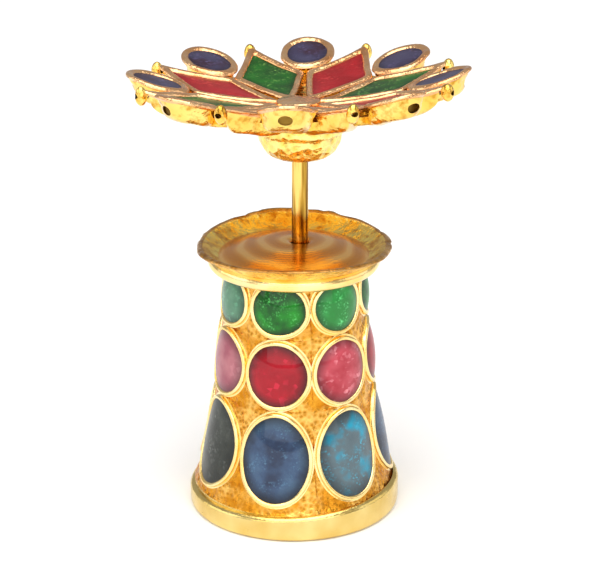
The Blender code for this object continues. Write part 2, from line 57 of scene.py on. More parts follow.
# Drum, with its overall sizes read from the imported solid
DRUM_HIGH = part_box("drum")[1]
DRUM_HEIGHT = DRUM_HIGH[2]
FOOT_RING_RADIUS = DRUM_HIGH[0]
FOOT_RING_HEIGHT = 1.75 * MM
FOOT_RING_ROUND = 0.34 * MM
LIP_RADIUS = 6.55 * MM
LIP_WIDTH = 0.42 * MM
LIP_THICKNESS = 0.22 * MM
LIP_ROLL_HEIGHT = 0.12 * MM
LIP_FLARE_HEIGHT = 0.6 * MM
LIP_INSIDE_CURVE = 0.75
LIP_OUTSIDE_CURVE = 0.8
COLLAR_RADIUS = 5.75 * MM
COLLAR_HEIGHT = 0.9 * MM
COLLAR_TUCK = 0.4 * MM
COLLAR_OVERLAP = 0.04 * MM
COLLAR_FOOT_WIDTH = 0.1 * MM
COLLAR_FOOT_DROP = 0.02 * MM
BODY_TOP_RADIUS = 4.4 * MM
BODY_SPREAD = 1.55 * MM
FOOT_FLARE = 0.9 * MM
FLARE_POWER = 6
WALL = 0.9 * MM
DISH_RADIUS = 5.0 * MM
DISH_DEPTH = 0.9 * MM
DISH_RISE = 0.95 * MM
DISH_THICKNESS = 0.5 * MM
BORE_RADIUS = 0.61 * MM
BORE_DEPTH = 6.1 * MM
COUNTERSINK_WIDTH = 0.35 * MM
COUNTERSINK_DEPTH = 0.25 * MM
SLEEVE_WALL = 0.45 * MM
SLEEVE_FLOOR = 0.5 * MM
SLEEVE_TOP_SHARE = 0.8
CAP_THICKNESS = 0.6 * MM
CAP_LEDGE = 0.5 * MM
CAP_EDGE = 0.1 * MM
SEAT_GAP = 0.05 * MM

# Enamel cells on the drum, whose rows run from the top down
COLUMNS = 7
FIRST_COLUMN_ANGLE = math.radians(-12.5)
BEZEL_WIDTH = 0.3 * MM
BEZEL_SKIRT = 0.12 * MM
SKIRT_SHARE = 0.3
BEZEL_HEIGHT = 0.26 * MM
BEZEL_FULLNESS = 0.55
CELL_GAP = 0.04 * MM
ROW_GAP = 0.2 * MM
POCKET_DEPTH = 0.2 * MM
CELL_EDGE_DROP = 0.1 * MM
CELL_DOME = 0.28 * MM
ENAMEL_OVERLAP = 0.04 * MM
Row = namedtuple("Row", "colour height_share width_share")
ROWS = (Row("green", 0.24, 0.98), Row("red", 0.302, 1.0), Row("blue", 0.418, 0.96))

# Flower, measured from the middle of the boss's flat face
BOSS_BOTTOM = DRUM_HEIGHT + 5.9 * MM
FLOWER_TILT = math.radians(3.6)
FLOWER_LEAN = math.radians(1.5)
FLOWER_TURN = math.radians(4.1)
FACE_HEIGHT = 3.6 * MM
CUP_RADIUS = 30.0 * MM
PETAL_PAIRS = 8
KITE_REACH = 10.7 * MM
KITE_START_RADIUS = 1.1 * MM
KITE_CORNER_RADIUS = 6.15 * MM
KITE_ROUND = 0.32 * MM
KITE_GAP = 0.08 * MM
KITE_HALF_WIDTH = KITE_CORNER_RADIUS * math.tan(math.pi / PETAL_PAIRS) - KITE_GAP / 2
OVAL_STANDOFF = 0.4 * MM
OVAL_START = KITE_CORNER_RADIUS / math.cos(math.pi / PETAL_PAIRS) + OVAL_STANDOFF
OVAL_LENGTH = 4.2 * MM
OVAL_WIDTH = 3.8 * MM
Petal = namedtuple("Petal", "middle reach wall recess rise vent_radius vent_drop")
PETALS = {
    "oval": Petal(OVAL_START + OVAL_LENGTH / 2, OVAL_START + OVAL_LENGTH,
                  0.58 * MM, 0.14 * MM, 0.14 * MM, 0.38 * MM, 0.98 * MM),
    "kite": Petal(KITE_CORNER_RADIUS, KITE_REACH, 0.5 * MM, 0.2 * MM, 0.0, 0.19 * MM, 0.6 * MM),
}
COLLET_HEIGHT = 1.45 * MM
COLLET_TAPER = 0.85
COLLET_ROUND = 0.75 * MM
RIM_OVERHANG = 0.14 * MM
RIM_SHOULDER_SHARE = 0.9
PETAL_DOME = 0.08 * MM
PETAL_DEPTH = 0.3 * MM
PETAL_OVERLAP = 0.06 * MM
BACK_PLATE_MARGIN = 0.8 * MM
BACK_PLATE_DROP = 0.7 * MM
BACK_PLATE_THICKNESS = 0.5 * MM
HUB_RADIUS = 1.45 * MM
HUB_RISE = 0.2 * MM
KNOB_RADIUS = 0.42 * MM
KNOB_DEPTH = 1.25 * MM
KNOB_RISE = 0.1 * MM
KNOB_FULLNESS = 0.96
KNOB_POLE_SHARE = 0.94
VENT_DEPTH = 0.7 * MM
VENT_WIDTH_SHARE = 1.2
VENT_HEIGHT_SHARE = 0.85
BOSS_RADIUS = 2.8 * MM
BOSS_FACE_RADIUS = 1.45 * MM
BOSS_FACE_SHARES = (0.45, 0.9)
BOSS_HEIGHT = 2.7 * MM
BOSS_RING_RADIUS = 3.15 * MM
BOSS_RING_HEIGHT = 0.95 * MM
BOSS_RING_BULGE = 0.3 * MM
POST_OFFSET = 0.4 * MM
POST_RADIUS = 0.55 * MM
POST_GRIP = 6.0 * MM
POST_POINT = 0.3 * MM
POST_TIP_SHARE = 0.6
POST_FILLET = 0.22 * MM
POST_FILLET_ANGLES = (30, 55, 75, 90)

# Hand work: how far outlines and surfaces stray
CELL_WOBBLE = 0.06 * MM
LIP_WOBBLE = 0.2 * MM
LIP_NICK = 0.26 * MM
LIP_SADDLE = 0.26 * MM
RING_WOBBLE = 0.05 * MM
RING_TILT = 0.05
GROUND_WOBBLE = 0.07 * MM
CAST_WOBBLE = 0.15 * MM
RIM_WOBBLE = CAST_WOBBLE / 2
PLATE_WOBBLE = CAST_WOBBLE / 2
BOSS_WOBBLE = 0.1 * MM
BOSS_RING_ROUGH = 0.3
BOSS_ROUGH_START = 0.3
HUB_WOBBLE = 0.03
KNOB_WOBBLE = 0.16

# Hand work: shares of a wobble that move it in, up or down as a whole, or go to its finer part
LIP_INSET = 0.3
LIP_LIFT = 0.5
LIP_SINK = 0.35
NICK_SHARE = 0.1
GROUND_SINK = 0.6
CAST_INSET = 0.35
CAST_LIFT = 0.7
CAST_SINK = 0.3
BOSS_INSET = 0.3
BOSS_PIT_SHARE = 0.6

# Hand work: waves round an outline, or to the metre
CELL_WAVES = 1.3
LIP_WAVES = 2.2
NICK_WAVES = 9.0
RING_WAVES = 0.25 / MM
RIM_WAVES = 0.7 / MM
CAST_WAVES = 0.8 / MM
LUMP_WAVES = 1.0 / MM
BOSS_WAVES = 1.1 / MM
GROUND_WAVES = 1.9 / MM
PIT_WAVES = 2.6 / MM

# Gold: its deepest and lightest colour, its range of roughness, waves to the millimetre and their depth, and
# the colour of its painted shade, laid in dark patches at random
Plating = namedtuple("Plating", "shade light rough grain depth stain", defaults=(None,))
PLATINGS = {
    "bezel": Plating((1.0, 0.66, 0.2), (1.0, 0.82, 0.42), (0.12, 0.26), 3.0, 0.02 * MM),
    "foot": Plating((0.72, 0.5, 0.14), (0.84, 0.65, 0.25), (0.14, 0.28), 1.2, 0.05 * MM),
    "cast": Plating((0.94, 0.54, 0.08), (1.0, 0.74, 0.22), (0.1, 0.2), 0.75, 0.22 * MM, (0.6, 0.3, 0.035)),
    # The rims' coppery tint is a painted reflection of brownish surroundings.
    "rim": Plating((0.76, 0.34, 0.13), (0.98, 0.62, 0.32), (0.12, 0.22), 1.4, 0.12 * MM),
    "lip": Plating((0.98, 0.56, 0.08), (1.0, 0.8, 0.22), (0.08, 0.2), 1.2, 0.18 * MM, (0.64, 0.28, 0.03)),
    # The lip's rolled edge: a darker copy of the lip's gold, which is painted shade.
    "lip_edge_painted_shade": Plating((0.44, 0.2, 0.04), (0.8, 0.46, 0.14), (0.1, 0.22), 1.8, 0.14 * MM,
                        (0.42, 0.17, 0.02)),
    # Painted shade: the dark gold inside the vents.
    "painted_shade_in_holes": Plating((0.12, 0.06, 0.008), (0.3, 0.17, 0.03), (0.3, 0.5), 3.0, 0.05 * MM),
}
DRUM_LOOKS = ("bezel", "ground", "lip", "plate", "lip_edge_painted_shade", "foot")
SETTING_LOOKS = ("cast", "rim")

# Colours along the patterns of the other golds; the dish's paint highlights, and the post's paint bands of
# reflection
PUNCH_COLOURS = ((0.0, (0.24, 0.1, 0.01)), (0.3, (0.58, 0.26, 0.03)), (0.75, (0.88, 0.5, 0.12)))
GROUND_COLOURS = ((0.3, (0.5, 0.17, 0.006)), (0.7, (0.76, 0.34, 0.03)))
DISH_COLOURS_WITH_PAINTED_HIGHLIGHTS = ((0.1, (0.74, 0.3, 0.055)), (0.6, (0.88, 0.4, 0.085)), (0.92, (1.0, 0.56, 0.17)))
POST_PAINTED_REFLECTION_COLOURS = ((0.4, (0.14, 0.06, 0.006)), (0.5, (0.5, 0.28, 0.04)), (0.62, (0.95, 0.62, 0.17)))
PIT_COLOURS = ((0.03, (0.4, 0.18, 0.02)), (0.16, (0.95, 0.62, 0.12)), (0.7, (1.0, 0.78, 0.26)))
FLOOR_COLOURS = ((0.3, (0.96, 0.96, 0.96)), (0.7, (0.98, 0.98, 0.98)))
BLACK = (0.0, 0.0, 0.0)
WHITE = (1.0, 1.0, 1.0)

# Enamel: shades from deep to bright, the glitter's colour, flakes to the millimetre, the share of light left
# at the rim by painted shade, and a shift of the pattern in millimetres
Glass = namedtuple("Glass", "shades glitter flakes rim shift", defaults=((0.0, 0.0, 0.0),))
# Besides each plain colour: a lighter copy with more glitter, which is painted light and reflection, and a
# hazier or darker copy, which is painted reflection and shade.
DRUM_ENAMELS = {
    "green": Glass(((0.0, 0.07, 0.003), (0.005, 0.19, 0.008), (0.01, 0.3, 0.01)),
                   (0.08, 0.5, 0.1), 10.0, 0.12),
    "green_painted_light_and_sparkle": Glass(((0.015, 0.2, 0.03), (0.04, 0.36, 0.08)), (0.16, 0.8, 0.26), 9.0, 0.25),
    "green_painted_haze_and_shade": Glass(((0.06, 0.17, 0.1), (0.12, 0.28, 0.17)), (0.16, 0.44, 0.26), 6.0, 0.3),
    "red": Glass(((0.28, 0.001, 0.008), (0.44, 0.002, 0.014)), (0.6, 0.012, 0.04), 3.0, 0.15),
    "red_painted_light_and_sparkle": Glass(((0.36, 0.02, 0.035), (0.58, 0.09, 0.12)), (0.8, 0.26, 0.3), 4.0, 0.3),
    "red_painted_haze_and_shade": Glass(((0.3, 0.07, 0.1), (0.44, 0.16, 0.18)), (0.55, 0.22, 0.25), 3.0, 0.4),
    "blue": Glass(((0.018, 0.03, 0.065), (0.036, 0.07, 0.14), (0.055, 0.11, 0.19)),
                  (0.07, 0.16, 0.26), 10.0, 0.15),
    "blue_painted_light_and_sparkle": Glass(((0.075, 0.11, 0.13), (0.09, 0.135, 0.155), (0.01, 0.28, 0.42)),
                            (0.05, 0.42, 0.6), 8.0, 0.25, (2.0, 1.5, -0.1)),
    "blue_painted_haze_and_shade": Glass(((0.018, 0.021, 0.016), (0.05, 0.056, 0.045)), (0.09, 0.1, 0.09), 6.0, 0.4),
}
PETAL_ENAMELS = {
    "green": Glass(((0.004, 0.045, 0.004), (0.01, 0.12, 0.008)), (0.16, 0.36, 0.07), 8.0, 0.5),
    "red": Glass(((0.25, 0.003, 0.006), (0.37, 0.006, 0.012)), (0.5, 0.03, 0.03), 6.0, 0.7),
    "blue": Glass(((0.035, 0.016, 0.034), (0.04, 0.034, 0.075), (0.05, 0.045, 0.09)),
                  (0.09, 0.07, 0.16), 6.0, 0.5),
}
Gloss = namedtuple("Gloss", "body coat coat_rough")
DRUM_GLOSS = Gloss(0.12, 0.55, 0.03)
PETAL_GLOSS = Gloss(0.08, 0.22, 0.12)
# The front cells differ from column to column by painted light: lighter, hazier copies with more glitter, and
# hazier or darker copies, which paint the reflection and shade that each column gets
COLUMN_LOOKS = ("", "_sparkling", "", "_dull", "", "_sparkling", "_dull")

# Where most of a noise's values lie, and where an enamel's shades lie on it
NOISE_LOW, NOISE_HIGH = 0.3, 0.7
SHADES_START, SHADES_SPAN = 0.38, 0.28

# Facets
SHARP_ANGLE = 35
BOSS_SHARP_ANGLE = 60
CELL_SIDES = 64
BEZEL_STEPS = 8
GROUND_STEPS = 8
DOME_STEPS = 8
ARC_STEPS = 6
WALL_STEPS = 5
DISH_STEPS = 14
COUNTERSINK_STEPS = 5
LIP_STEPS = 6
LIP_ROLL_STEPS = 7
COLLAR_STEPS = 10
KITE_CORNER_STEPS = 4
KITE_EDGE_STEPS = 10
COLLET_STEPS = 5
RIM_STEPS = 10
VENT_SIDES = 20
KNOB_SIDES = 28
KNOB_BELTS = 16
HUB_SIDES = 40
PLATE_SIDES = 16 * PETAL_PAIRS
PLATE_RINGS = 8
BOSS_SIDES = 120
BOSS_STEPS = 14
BOSS_RING_STEPS = 9
POST_SIDES = 40
POST_STEPS = 20

# Camera and studio
PHOTO_WIDTH = 600
FOCAL_PIXELS = 2235
SENSOR_WIDTH = 36
CAMERA_DISTANCE = 150 * MM
CAMERA_ELEVATION = math.radians(21.1)
CAMERA_LOOK_AT = Vector((0.4, 0.0, 14.98)) * MM
AXIS_HEIGHT = 14 * MM
FLOOR_REACH = 3.0
WORLD_LIGHT = 0.44
LIGHT_AIM = Vector((0, 0, 0.015))
Light = namedtuple("Light", "place size power")
LIGHTS = {
    "front_box": Light((0.0, -0.42, 0.15), (1.0, 0.26), 1.1),
    "left_box": Light((-0.5, -0.02, 0.2), (0.5, 0.3), 0.6),
    "right_box": Light((0.5, 0.02, 0.2), (0.4, 0.3), 0.3),
    "top_box": Light((0.0, -0.14, 0.42), (0.5, 0.5), 2.1),
}


def wave(point, scale, seed=0.0):
    """Smooth noise between -1 and 1, the same in every run. A seed picks another stretch of it."""
    return noise.noise(Vector(point) * scale + Vector((seed, 1.7 * seed, 0.3 * seed)))


def outward(point):
    """The level direction from the Z axis to a point."""
    return Vector((point.x, point.y, 0)).normalized()


class Skin:
    """Faces of one closed piece, in which points that coincide share one index."""

    def __init__(self, looks=()):
        self.looks = looks
        self.points = []
        self.faces = []
        self.slots = []
        self.index = {}
        self.depths = []
        self.material = 0

    def use(self, look):
        self.material = self.looks.index(look)

    def corner(self, point, depth=0.0):
        key = tuple(round(c / SAME_PLACE) for c in point)
        if key not in self.index:
            self.index[key] = len(self.points)
            self.points.append(tuple(point))
            self.depths.append(depth)
        return self.index[key]

    def face(self, points):
        corners = []
        for point in points:
            corner = self.corner(point)
            if corner not in corners:
                corners.append(corner)
        if len(corners) > 2:
            self.faces.append(corners)
            self.slots.append(self.material)

    def bridge(self, first, second):
        for i, point in enumerate(first):
            j = (i + 1) % len(first)
            self.face([point, first[j], second[j], second[i]])

    def sweep(self, rings):
        for first, second in zip(rings, rings[1:]):
            self.bridge(first, second)

    def fan(self, ring, tip):
        for i, point in enumerate(ring):
            self.face([point, ring[(i + 1) % len(ring)], tip])

    def loft(self, rings, start, end, depths=()):
        """A closed piece through its rings, each of which may have a depth that its material reads, as the
        enamels do to paint shade at their rims.
        """
        for ring, depth in zip(rings, depths):
            for point in ring:
                self.corner(point, depth)
        self.fan(rings[0], start)
        self.sweep(rings)
        self.fan(rings[-1], end)
        return self


def add_object(name, data):
    thing = bpy.data.objects.new(name, data)
    bpy.context.scene.collection.objects.link(thing)
    return thing


def closed_mesh(name, skin):
    """The mesh of a skin, with its faces pointing out."""
    mesh = bpy.data.meshes.new(name)
    mesh.from_pydata(skin.points, [], skin.faces)
    work = bmesh.new()
    work.from_mesh(mesh)
    bmesh.ops.recalc_face_normals(work, faces=work.faces)
    work.to_mesh(mesh)
    work.free()
    return mesh


def add_piece(name, skin, body, nodes, materials, sharp=SHARP_ANGLE):
    """A piece of the scene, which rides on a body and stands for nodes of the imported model."""
    mesh = closed_mesh(name, skin)
    for material in materials:
        mesh.materials.append(material)
    mesh.polygons.foreach_set("material_index", skin.slots)
    if any(skin.depths):
        mesh.attributes.new("depth", "FLOAT", "POINT").data.foreach_set("value", skin.depths)
    mesh.shade_smooth()
    mesh.set_sharp_from_angle(angle=math.radians(sharp))
    piece = add_object(name, mesh)
    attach(piece, body)
    if nodes:
        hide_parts(*nodes)
    return piece


# Materials


class Nodes:
    """A material's node tree, with the few nodes that the finishes share."""

    def __init__(self, name, shift=(0.0, 0.0, 0.0)):
        self.material = bpy.data.materials.new(name)
        self.material.use_nodes = True
        self.tree = self.material.node_tree
        self.shader = self.tree.nodes["Principled BSDF"]
        # Texture space is in millimetres.
        scale = (1 / MM, 1 / MM, 1 / MM)
        place = self.add("TexCoord").outputs["Object"]
        self.place = self.add("Mapping", Scale=scale, Location=shift, Vector=place).outputs["Vector"]

    def link(self, output, socket):
        self.tree.links.new(output, socket)

    def fill(self, node, values):
        """Sets the sockets of a node to values, or links them to the outputs of other nodes."""
        for name, value in values.items():
            socket = node.inputs[name.replace("_", " ")]
            if isinstance(value, (float, int, tuple)):
                socket.default_value = value
            else:
                self.link(value, socket)

    def add(self, kind, **values):
        node = self.tree.nodes.new("ShaderNode" + kind)
        self.fill(node, values)
        return node

    def noise(self, scale, detail=3.0, roughness=0.5, stretch=None):
        """Soft noise; a stretch squeezes or draws it out along each axis."""
        place = self.place
        if stretch:
            drawn = self.add("VectorMath")
            drawn.operation = "MULTIPLY"
            drawn.inputs[1].default_value = stretch
            self.link(place, drawn.inputs[0])
            place = drawn.outputs["Vector"]
        node = self.add("TexNoise", Scale=scale, Detail=detail, Roughness=roughness, Vector=place)
        return node.outputs["Fac"]

    def rings(self, scale, distortion):
        """Wandering rings round the middle."""
        node = self.add("TexWave", Scale=scale, Distortion=distortion, Detail=2.0, Detail_Scale=0.6,
                        Vector=self.place)
        node.wave_type = "RINGS"
        node.rings_direction = "Z"
        return node.outputs["Fac"]

    def cells(self, scale, output="Distance"):
        return self.add("TexVoronoi", Scale=scale, Vector=self.place).outputs[output]

    def attribute(self, name):
        node = self.add("Attribute")
        node.attribute_name = name
        return node.outputs["Fac"]

    def ramp(self, factor, stops):
        node = self.add("ValToRGB", Fac=factor)
        ramp = node.color_ramp
        while len(ramp.elements) < len(stops):
            ramp.elements.new(0.5)
        for element, (position, colour) in zip(ramp.elements, stops):
            element.position = position
            element.color = (*colour, 1.0)
        return node.outputs["Color"]

    def mask(self, factor, start, end):
        """Black where a factor is under the start, and white where it is past the end."""
        return self.ramp(factor, ((start, BLACK), (end, WHITE)))

    def spread(self, factor, low, high):
        """A value that runs from low to high over most of a noise's range."""
        node = self.add("MapRange", Value=factor, From_Min=NOISE_LOW, From_Max=NOISE_HIGH,
                        To_Min=low, To_Max=high)
        return node.outputs["Result"]

    def mix(self, factor, first, second, blend="MIX"):
        node = self.add("Mix")
        node.data_type = "RGBA"
        node.blend_type = blend
        sockets = {s.identifier: s for s in node.inputs}
        for socket, value in (("Factor_Float", factor), ("A_Color", first), ("B_Color", second)):
            if isinstance(value, (float, int)):
                sockets[socket].default_value = value
            elif isinstance(value, tuple):
                sockets[socket].default_value = (*value, 1.0)
            else:
                self.link(value, sockets[socket])
        return {s.identifier: s for s in node.outputs}["Result_Color"]

    def bump(self, height, depth, strength=1.0, before=None):
        node = self.add("Bump", Strength=strength, Distance=depth, Height=height)
        if before is not None:
            self.link(before, node.inputs["Normal"])
        return node.outputs["Normal"]

    def set(self, **values):
        self.fill(self.shader, values)

    def metal(self, colour, normal, rough, patches):
        """The finished metal, whose roughness drifts between two values in patches."""
        roughness = self.spread(self.noise(patches), *rough)
        self.set(Metallic=1.0, Base_Color=colour, Roughness=roughness, Normal=normal)
        return self.material


def gold(name, plating):
    """Gold plating: a drift of colour, patchy polish, a worked and scratched surface, and maybe painted shade
    in dark patches.
    """
    nodes = Nodes("gold_" + name)
    drift = nodes.noise(0.55, detail=2.0)
    colour = nodes.ramp(drift, ((NOISE_LOW, plating.shade), (NOISE_HIGH, plating.light)))
    # Painted shade: dark patches laid at random over the gold.
    if plating.stain:
        painted_shade_noise = nodes.noise(1.3, detail=4.0, roughness=0.6)
        colour = nodes.mix(nodes.mask(painted_shade_noise, 0.5, 0.66), colour, plating.stain)
    worked = nodes.noise(plating.grain, detail=4.0, roughness=0.6)
    scratches = nodes.noise(9.0, detail=2.0)
    normal = nodes.bump(worked, plating.depth)
    normal = nodes.bump(scratches, 0.004 * MM, strength=0.6, before=normal)
    return nodes.metal(colour, normal, plating.rough, 1.6)


def ground_gold():
    """The sunk ground between the cells: deep orange, stippled with a punch in parts."""
    nodes = Nodes("gold_ground")
    punch = nodes.cells(3.2)
    parts = nodes.mask(nodes.noise(0.5, detail=2.0), 0.42, 0.58)
    plain = nodes.ramp(nodes.noise(1.2), GROUND_COLOURS)
    colour = nodes.mix(parts, plain, nodes.ramp(punch, PUNCH_COLOURS))
    normal = nodes.bump(punch, 0.07 * MM)
    normal = nodes.bump(nodes.noise(2.2), 0.09 * MM, before=normal)
    return nodes.metal(colour, normal, (0.2, 0.42), 2.5)


def dish_gold():
    """The copper-toned plate, with the faint rings that polishing left, and painted highlights in bands along
    them.
    """
    nodes = Nodes("gold_dish")
    polish_rings_and_painted_highlights = nodes.rings(0.2, distortion=8.0)
    fine = nodes.rings(1.1, distortion=14.0)
    normal = nodes.bump(polish_rings_and_painted_highlights, 0.03 * MM, strength=0.6)
    normal = nodes.bump(fine, 0.01 * MM, strength=0.5, before=normal)
    # The plate's colour along the rings paints highlights.
    return nodes.metal(nodes.ramp(polish_rings_and_painted_highlights, DISH_COLOURS_WITH_PAINTED_HIGHLIGHTS), normal, (0.14, 0.26), 1.6)


def post_gold():
    """The post, drawn through a die that left streaks along it; the streaks' colours paint bands of
    reflection.
    """
    nodes = Nodes("gold_post")
    streaks_and_painted_reflection = nodes.noise(2.4, detail=2.0, stretch=(1.0, 1.0, 0.06))
    normal = nodes.bump(streaks_and_painted_reflection, 0.05 * MM)
    # The streaks' colours, from near black to pale gold, paint bands of reflection along the post.
    return nodes.metal(nodes.ramp(streaks_and_painted_reflection, POST_PAINTED_REFLECTION_COLOURS), normal, (0.1, 0.2), 2.0)


def boss_gold():
    """The boss: cast gold with small dark pits."""
    nodes = Nodes("gold_pitted")
    pits = nodes.cells(1.7)
    normal = nodes.bump(pits, 0.14 * MM)
    normal = nodes.bump(nodes.noise(3.0), 0.08 * MM, before=normal)
    return nodes.metal(nodes.ramp(pits, PIT_COLOURS), normal, (0.16, 0.32), 2.0)


def enamel(name, glass, gloss):
    """Glassy enamel: flakes glint in it, and painted shade darkens the colour towards the rim."""
    nodes = Nodes(name, glass.shift)
    step = SHADES_SPAN / (len(glass.shades) - 1)
    stops = [(SHADES_START + step * place, shade) for place, shade in enumerate(glass.shades)]
    flakes = nodes.cells(glass.flakes, "Color")
    patches = nodes.mask(nodes.noise(0.9, detail=2.0), 0.45, 0.62)
    spark = nodes.mix(1.0, nodes.mask(flakes, 0.62, 0.92), patches, "MULTIPLY")
    colour = nodes.mix(spark, nodes.ramp(nodes.noise(0.5), stops), glass.glitter)
    # Painted shade: the colour darkens from two thirds of the way out to the rim.
    edge = nodes.ramp(nodes.attribute("depth"), ((0.66, WHITE), (1.0, (glass.rim, glass.rim, glass.rim))))
    colour = nodes.mix(1.0, colour, edge, "MULTIPLY")
    normal = nodes.bump(flakes, 0.02 * MM, strength=0.5)
    nodes.set(Base_Color=colour, Roughness=0.45, Normal=normal, Specular_IOR_Level=gloss.body)
    nodes.set(Coat_Weight=gloss.coat, Coat_Roughness=gloss.coat_rough, Coat_IOR=1.5)
    return nodes.material


def make_materials():
    materials = {name: gold(name, plating) for name, plating in PLATINGS.items()}
    materials.update(plate=dish_gold(), post=post_gold(), ground=ground_gold(), pitted=boss_gold())
    for look, glass in DRUM_ENAMELS.items():
        materials["drum_" + look] = enamel("enamel_drum_" + look, glass, DRUM_GLOSS)
    for look, glass in PETAL_ENAMELS.items():
        materials["petal_" + look] = enamel("enamel_petal_" + look, glass, PETAL_GLOSS)
    return materials


# Drum


def ring_points(radius, height, sides, start=0.0):
    """A level ring about the Z axis. Angle 0 faces -Y, and angles grow towards +X."""
    turns = [start + 2 * math.pi * i / sides for i in range(sides)]
    return [Vector((radius * math.sin(a), -radius * math.cos(a), height)) for a in turns]


def body_top():
    return DRUM_HEIGHT - LIP_THICKNESS - LIP_FLARE_HEIGHT - COLLAR_HEIGHT + COLLAR_TUCK


def wall_radius(height):
    """Outside of the drum's wall: a straight taper, with a flare near the foot."""
    down = (body_top() - height) / (body_top() - FOOT_RING_HEIGHT)
    return BODY_TOP_RADIUS + BODY_SPREAD * down + FOOT_FLARE * max(down, 0.0) ** FLARE_POWER


def on_wall(angle, height, proud):
    reach = wall_radius(height) + proud
    return Vector((reach * math.sin(angle), -reach * math.cos(angle), height))


def drum_ring(radius, height, share=0):
    """A ring of the drum, whose points meet the cells' edges. It may take a share of the post's offset."""
    sides = COLUMNS * CELL_SIDES // 4
    ring = ring_points(radius, height, sides, FIRST_COLUMN_ANGLE + math.pi / COLUMNS)
    return [point + Vector((share * POST_OFFSET, 0, 0)) for point in ring]


class Cell(namedtuple("Cell", "colour column middle half_height half_width lower upper")):
    """One enamel cell, with its row's sizes."""

    @property
    def angle(self):
        return FIRST_COLUMN_ANGLE + 2 * math.pi * self.column / COLUMNS

    def ring(self, grow, proud, share=1.0):
        """An oval on the wall, grown past the enamel's outline or shrunk to a share, and raised."""
        # Any number that differs from cell to cell would do as a seed.
        seed = 3.1 * self.column + 500 * self.middle
        points = []
        for i in range(CELL_SIDES):
            turn = math.pi / 4 + 2 * math.pi * i / CELL_SIDES
            across, up = math.cos(turn), math.sin(turn)
            stray = CELL_WOBBLE * noise.noise(Vector((CELL_WAVES * across, CELL_WAVES * up, seed)))
            angle = self.angle + share * (self.half_width + grow + stray) * across / wall_radius(self.middle)
            height = self.middle + share * (self.half_height + grow + stray) * up
            points.append(on_wall(angle, height, proud))
        return points

    def centre(self, proud):
        return on_wall(self.angle, self.middle, proud)

    def border(self):
        """The four-sided patch of wall round the cell, with as many points as the oval."""
        side = CELL_SIDES // 4
        half = math.pi / COLUMNS
        corners = ((1, 1), (-1, 1), (-1, -1), (1, -1))
        points = []
        for (x0, y0), (x1, y1) in zip(corners, corners[1:] + corners[:1]):
            for step in range(side):
                along = step / side
                across = x0 + (x1 - x0) * along
                up = (y0 + (y1 - y0) * along + 1) / 2
                height = self.lower + (self.upper - self.lower) * up
                points.append(on_wall(self.angle + half * across, height, 0.0))
        return points


def make_cells():
    top = body_top() - CELL_GAP / 2
    bezels = 2 * BEZEL_WIDTH * len(ROWS) + ROW_GAP * (len(ROWS) - 1)
    free = top - CELL_GAP / 2 - FOOT_RING_HEIGHT - bezels
    cells = []
    upper = body_top()
    for row in ROWS:
        half_height = free * row.height_share / 2
        middle = top - BEZEL_WIDTH - half_height
        bottom = middle - half_height - BEZEL_WIDTH
        lower = FOOT_RING_HEIGHT if row is ROWS[-1] else bottom - ROW_GAP / 2
        free_width = 2 * math.pi * wall_radius(middle) / COLUMNS - 2 * BEZEL_WIDTH - CELL_GAP
        half_width = row.width_share * free_width / 2
        for column in range(COLUMNS):
            cells.append(Cell(row.colour, column, middle, half_height, half_width, lower, upper))
        top = bottom - ROW_GAP
        upper = lower
    return cells


def ground_level(point, share):
    """Moves a point of the ground in or out: the ground dips between the bezels and is uneven."""
    dip = 4 * share * (1 - share)
    return point + outward(point) * dip * GROUND_WOBBLE * (wave(point, GROUND_WAVES, 4.0) - GROUND_SINK)


def add_cell(skin, cell):
    """Ground, half-round bezel and pocket of one cell."""
    border, foot = cell.border(), cell.ring(BEZEL_WIDTH, 0.0)
    skirt = cell.ring(BEZEL_WIDTH + BEZEL_SKIRT, 0.0)
    ground = []
    for step in range(GROUND_STEPS + 1):
        share = step / GROUND_STEPS
        ring = []
        for edge, brink, inner in zip(border, skirt, foot):
            brink = brink if (edge - inner).length > BEZEL_SKIRT else edge.lerp(inner, SKIRT_SHARE)
            ring.append(ground_level(edge.lerp(brink, share), share))
        ground.append(ring)
    bezel = [ground[-1], foot]
    for step in range(1, BEZEL_STEPS + 1):
        turn = math.pi * step / BEZEL_STEPS
        grow = BEZEL_WIDTH * (1 + math.cos(turn)) / 2
        bezel.append(cell.ring(grow, BEZEL_HEIGHT * math.sin(turn) ** BEZEL_FULLNESS))
    bezel.append(cell.ring(0.0, -POCKET_DEPTH))
    skin.use("ground")
    skin.sweep(ground)
    skin.use("bezel")
    skin.sweep(bezel)
    skin.fan(bezel[-1], cell.centre(-POCKET_DEPTH))


def enamel_skin(cell):
    """A domed drop of enamel that wets the inside of its bezel."""
    edge = BEZEL_HEIGHT - CELL_EDGE_DROP
    rings = [cell.ring(ENAMEL_OVERLAP, -POCKET_DEPTH / 2), cell.ring(ENAMEL_OVERLAP, edge)]
    shares = [1.0, 1.0]
    for step in range(1, DOME_STEPS):
        share = 1 - step / DOME_STEPS
        rise = CELL_DOME * (1 - share * share)
        rings.append(cell.ring(ENAMEL_OVERLAP, edge + rise, share))
        shares.append(share)
    return Skin().loft(rings, cell.centre(-POCKET_DEPTH / 2), cell.centre(edge + CELL_DOME), shares)


def arc(centre, radii, start, end, steps):
    """Points of an elliptical arc in the plane of radius and height, with angles in degrees."""
    points = []
    for step in range(steps + 1):
        turn = math.radians(start + (end - start) * step / steps)
        points.append((centre[0] + radii[0] * math.cos(turn), centre[1] + radii[1] * math.sin(turn)))
    return points


def dish_height(radius):
    share = 1 - (radius / DISH_RADIUS) ** 2
    return DRUM_HEIGHT - DISH_DEPTH + DISH_RISE * share


